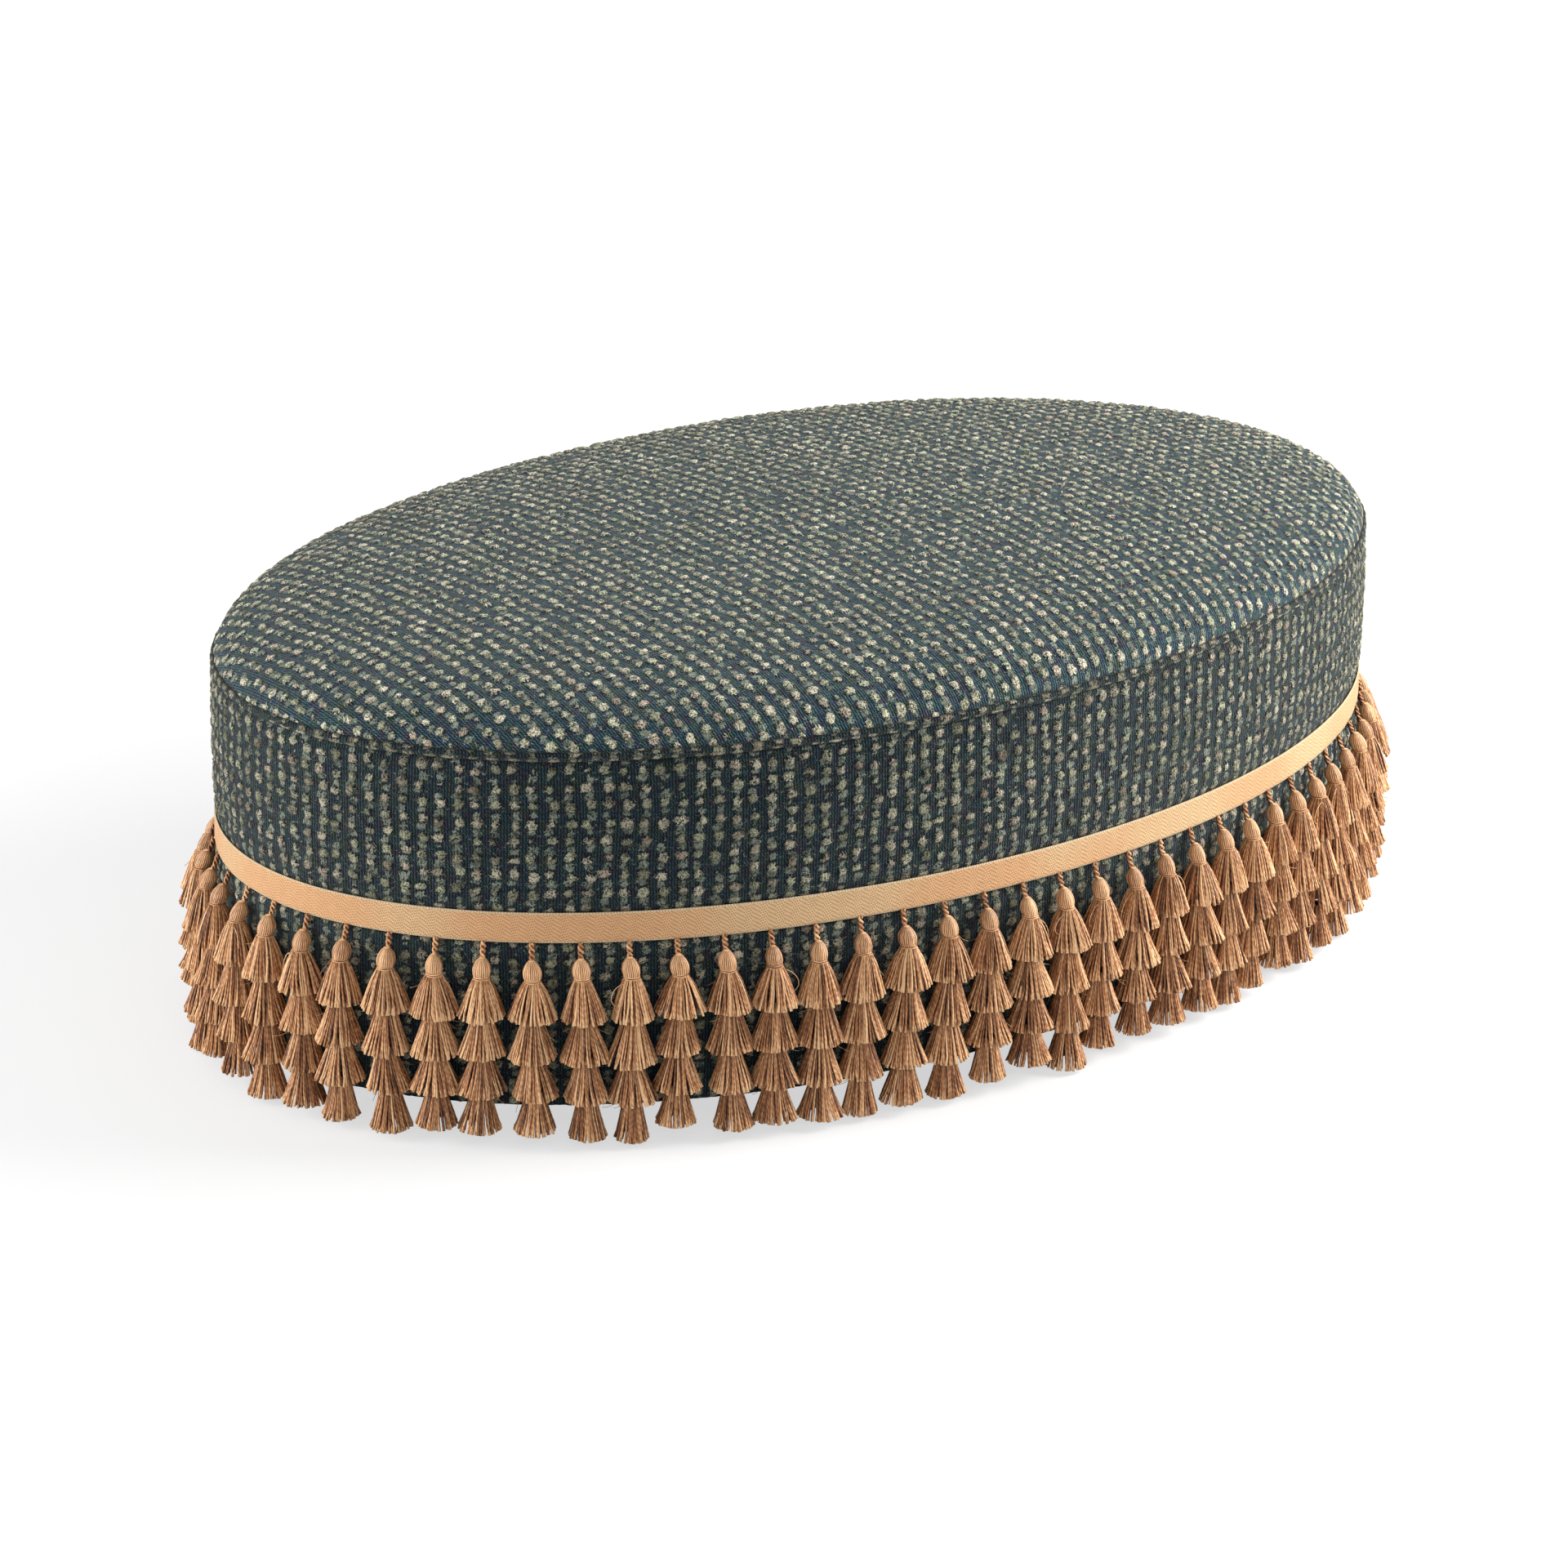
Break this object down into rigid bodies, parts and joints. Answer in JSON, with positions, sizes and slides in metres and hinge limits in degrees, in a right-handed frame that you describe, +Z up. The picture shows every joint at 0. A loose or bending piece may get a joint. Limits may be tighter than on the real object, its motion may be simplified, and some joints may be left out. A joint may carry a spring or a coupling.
{
  "type": "upholstered footstool",
  "caption": "Low oval upholstered footstool with a crowned tweed seat, a woven jute tape around the side and a hanging fringe of tiered jute tassels.",
  "frame": {"origin": "on the floor, under the middle of the oval", "axes": "+X along the long axis of the oval, front faces -Y, +Z up"},
  "size_m": [1.2848, 0.8284, 0.427],
  "materials": {
    "plywood": "raw sanded",
    "pine": "raw sawn",
    "hardboard": "smooth bent board",
    "zinc_steel": "zinc plated",
    "webbing": "woven jute webbing",
    "hessian": "coarse open weave",
    "foam": "open-cell foam",
    "wadding": "polyester wadding",
    "tweed": "chunky navy and stone tweed weave",
    "jute_tape": "herringbone woven jute tape",
    "dust_cloth": "black non-woven cloth",
    "black_foot": "black satin",
    "jute_yarn": "twisted brown jute yarn"
  },
  "bodies": {
    "stool": {"bottom_ring": "plywood", "deck_ring": "plywood", "frame_posts": "pine", "cross_rails": "plywood", "wall_board_left": "hardboard", "wall_board_right": "hardboard", "post_screws": "zinc_steel", "rail_screws": "zinc_steel", "wall_staples": "zinc_steel", "webbing_cross": "webbing", "webbing_long": "webbing", "webbing_staples": "zinc_steel", "deck_cloth": "hessian", "seat_foam": "foam", "crown_foam": "foam", "top_wadding": "wadding", "side_foam": "foam", "cover_top": "tweed", "seam_welt": "tweed", "cover_boxing": "tweed", "header_tape": "jute_tape", "dust_cover": "dust_cloth", "dust_cover_staples": "zinc_steel", "feet": "black_foot", "foot_studs": "zinc_steel", "t_nuts": "zinc_steel"},
    "fringe_01": {"tassels_01": "jute_yarn"},
    "fringe_02": {"tassels_02": "jute_yarn"},
    "fringe_03": {"tassels_03": "jute_yarn"},
    "fringe_04": {"tassels_04": "jute_yarn"},
    "fringe_05": {"tassels_05": "jute_yarn"},
    "fringe_06": {"tassels_06": "jute_yarn"},
    "fringe_07": {"tassels_07": "jute_yarn"},
    "fringe_08": {"tassels_08": "jute_yarn"},
    "fringe_09": {"tassels_09": "jute_yarn"},
    "fringe_10": {"tassels_10": "jute_yarn"},
    "fringe_11": {"tassels_11": "jute_yarn"},
    "fringe_12": {"tassels_12": "jute_yarn"},
    "fringe_13": {"tassels_13": "jute_yarn"},
    "fringe_14": {"tassels_14": "jute_yarn"},
    "fringe_15": {"tassels_15": "jute_yarn"},
    "fringe_16": {"tassels_16": "jute_yarn"},
    "fringe_17": {"tassels_17": "jute_yarn"},
    "fringe_18": {"tassels_18": "jute_yarn"},
    "fringe_19": {"tassels_19": "jute_yarn"},
    "fringe_20": {"tassels_20": "jute_yarn"}
  },
  "joints": [
    {"name": "fringe_01_swing", "type": "hinge", "parent": "stool", "child": "fringe_01", "pos_m": [0.60319, 0.06212, 0.1827], "axis": [0.2543, -0.9671, 0], "range_deg": [0, 60]},
    {"name": "fringe_02_swing", "type": "hinge", "parent": "stool", "child": "fringe_02", "pos_m": [0.54565, 0.17246, 0.1827], "axis": [0.6282, -0.778, 0], "range_deg": [0, 60]},
    {"name": "fringe_03_swing", "type": "hinge", "parent": "stool", "child": "fringe_03", "pos_m": [0.43628, 0.26788, 0.1827], "axis": [0.8435, -0.5372, 0], "range_deg": [0, 60]},
    {"name": "fringe_04_swing", "type": "hinge", "parent": "stool", "child": "fringe_04", "pos_m": [0.28597, 0.33793, 0.1827], "axis": [0.9494, -0.314, 0], "range_deg": [0, 60]},
    {"name": "fringe_05_swing", "type": "hinge", "parent": "stool", "child": "fringe_05", "pos_m": [0.10357, 0.37678, 0.1827], "axis": [0.9943, -0.1068, 0], "range_deg": [0, 60]},
    {"name": "fringe_06_swing", "type": "hinge", "parent": "stool", "child": "fringe_06", "pos_m": [-0.10357, 0.37678, 0.1827], "axis": [0.9943, 0.1068, 0], "range_deg": [0, 60]},
    {"name": "fringe_07_swing", "type": "hinge", "parent": "stool", "child": "fringe_07", "pos_m": [-0.28597, 0.33793, 0.1827], "axis": [0.9494, 0.314, 0], "range_deg": [0, 60]},
    {"name": "fringe_08_swing", "type": "hinge", "parent": "stool", "child": "fringe_08", "pos_m": [-0.43628, 0.26788, 0.1827], "axis": [0.8435, 0.5372, 0], "range_deg": [0, 60]},
    {"name": "fringe_09_swing", "type": "hinge", "parent": "stool", "child": "fringe_09", "pos_m": [-0.54565, 0.17246, 0.1827], "axis": [0.6282, 0.778, 0], "range_deg": [0, 60]},
    {"name": "fringe_10_swing", "type": "hinge", "parent": "stool", "child": "fringe_10", "pos_m": [-0.60319, 0.06212, 0.1827], "axis": [0.2543, 0.9671, 0], "range_deg": [0, 60]},
    {"name": "fringe_11_swing", "type": "hinge", "parent": "stool", "child": "fringe_11", "pos_m": [-0.60319, -0.06212, 0.1827], "axis": [-0.2543, 0.9671, 0], "range_deg": [0, 60]},
    {"name": "fringe_12_swing", "type": "hinge", "parent": "stool", "child": "fringe_12", "pos_m": [-0.54565, -0.17246, 0.1827], "axis": [-0.6282, 0.778, 0], "range_deg": [0, 60]},
    {"name": "fringe_13_swing", "type": "hinge", "parent": "stool", "child": "fringe_13", "pos_m": [-0.43628, -0.26788, 0.1827], "axis": [-0.8435, 0.5372, 0], "range_deg": [0, 60]},
    {"name": "fringe_14_swing", "type": "hinge", "parent": "stool", "child": "fringe_14", "pos_m": [-0.28597, -0.33793, 0.1827], "axis": [-0.9494, 0.314, 0], "range_deg": [0, 60]},
    {"name": "fringe_15_swing", "type": "hinge", "parent": "stool", "child": "fringe_15", "pos_m": [-0.10357, -0.37678, 0.1827], "axis": [-0.9943, 0.1068, 0], "range_deg": [0, 60]},
    {"name": "fringe_16_swing", "type": "hinge", "parent": "stool", "child": "fringe_16", "pos_m": [0.10357, -0.37678, 0.1827], "axis": [-0.9943, -0.1068, 0], "range_deg": [0, 60]},
    {"name": "fringe_17_swing", "type": "hinge", "parent": "stool", "child": "fringe_17", "pos_m": [0.28597, -0.33793, 0.1827], "axis": [-0.9494, -0.314, 0], "range_deg": [0, 60]},
    {"name": "fringe_18_swing", "type": "hinge", "parent": "stool", "child": "fringe_18", "pos_m": [0.43628, -0.26788, 0.1827], "axis": [-0.8435, -0.5372, 0], "range_deg": [0, 60]},
    {"name": "fringe_19_swing", "type": "hinge", "parent": "stool", "child": "fringe_19", "pos_m": [0.54565, -0.17246, 0.1827], "axis": [-0.6282, -0.778, 0], "range_deg": [0, 60]},
    {"name": "fringe_20_swing", "type": "hinge", "parent": "stool", "child": "fringe_20", "pos_m": [0.60319, -0.06212, 0.1827], "axis": [-0.2543, -0.9671, 0], "range_deg": [0, 60]}
  ]
}
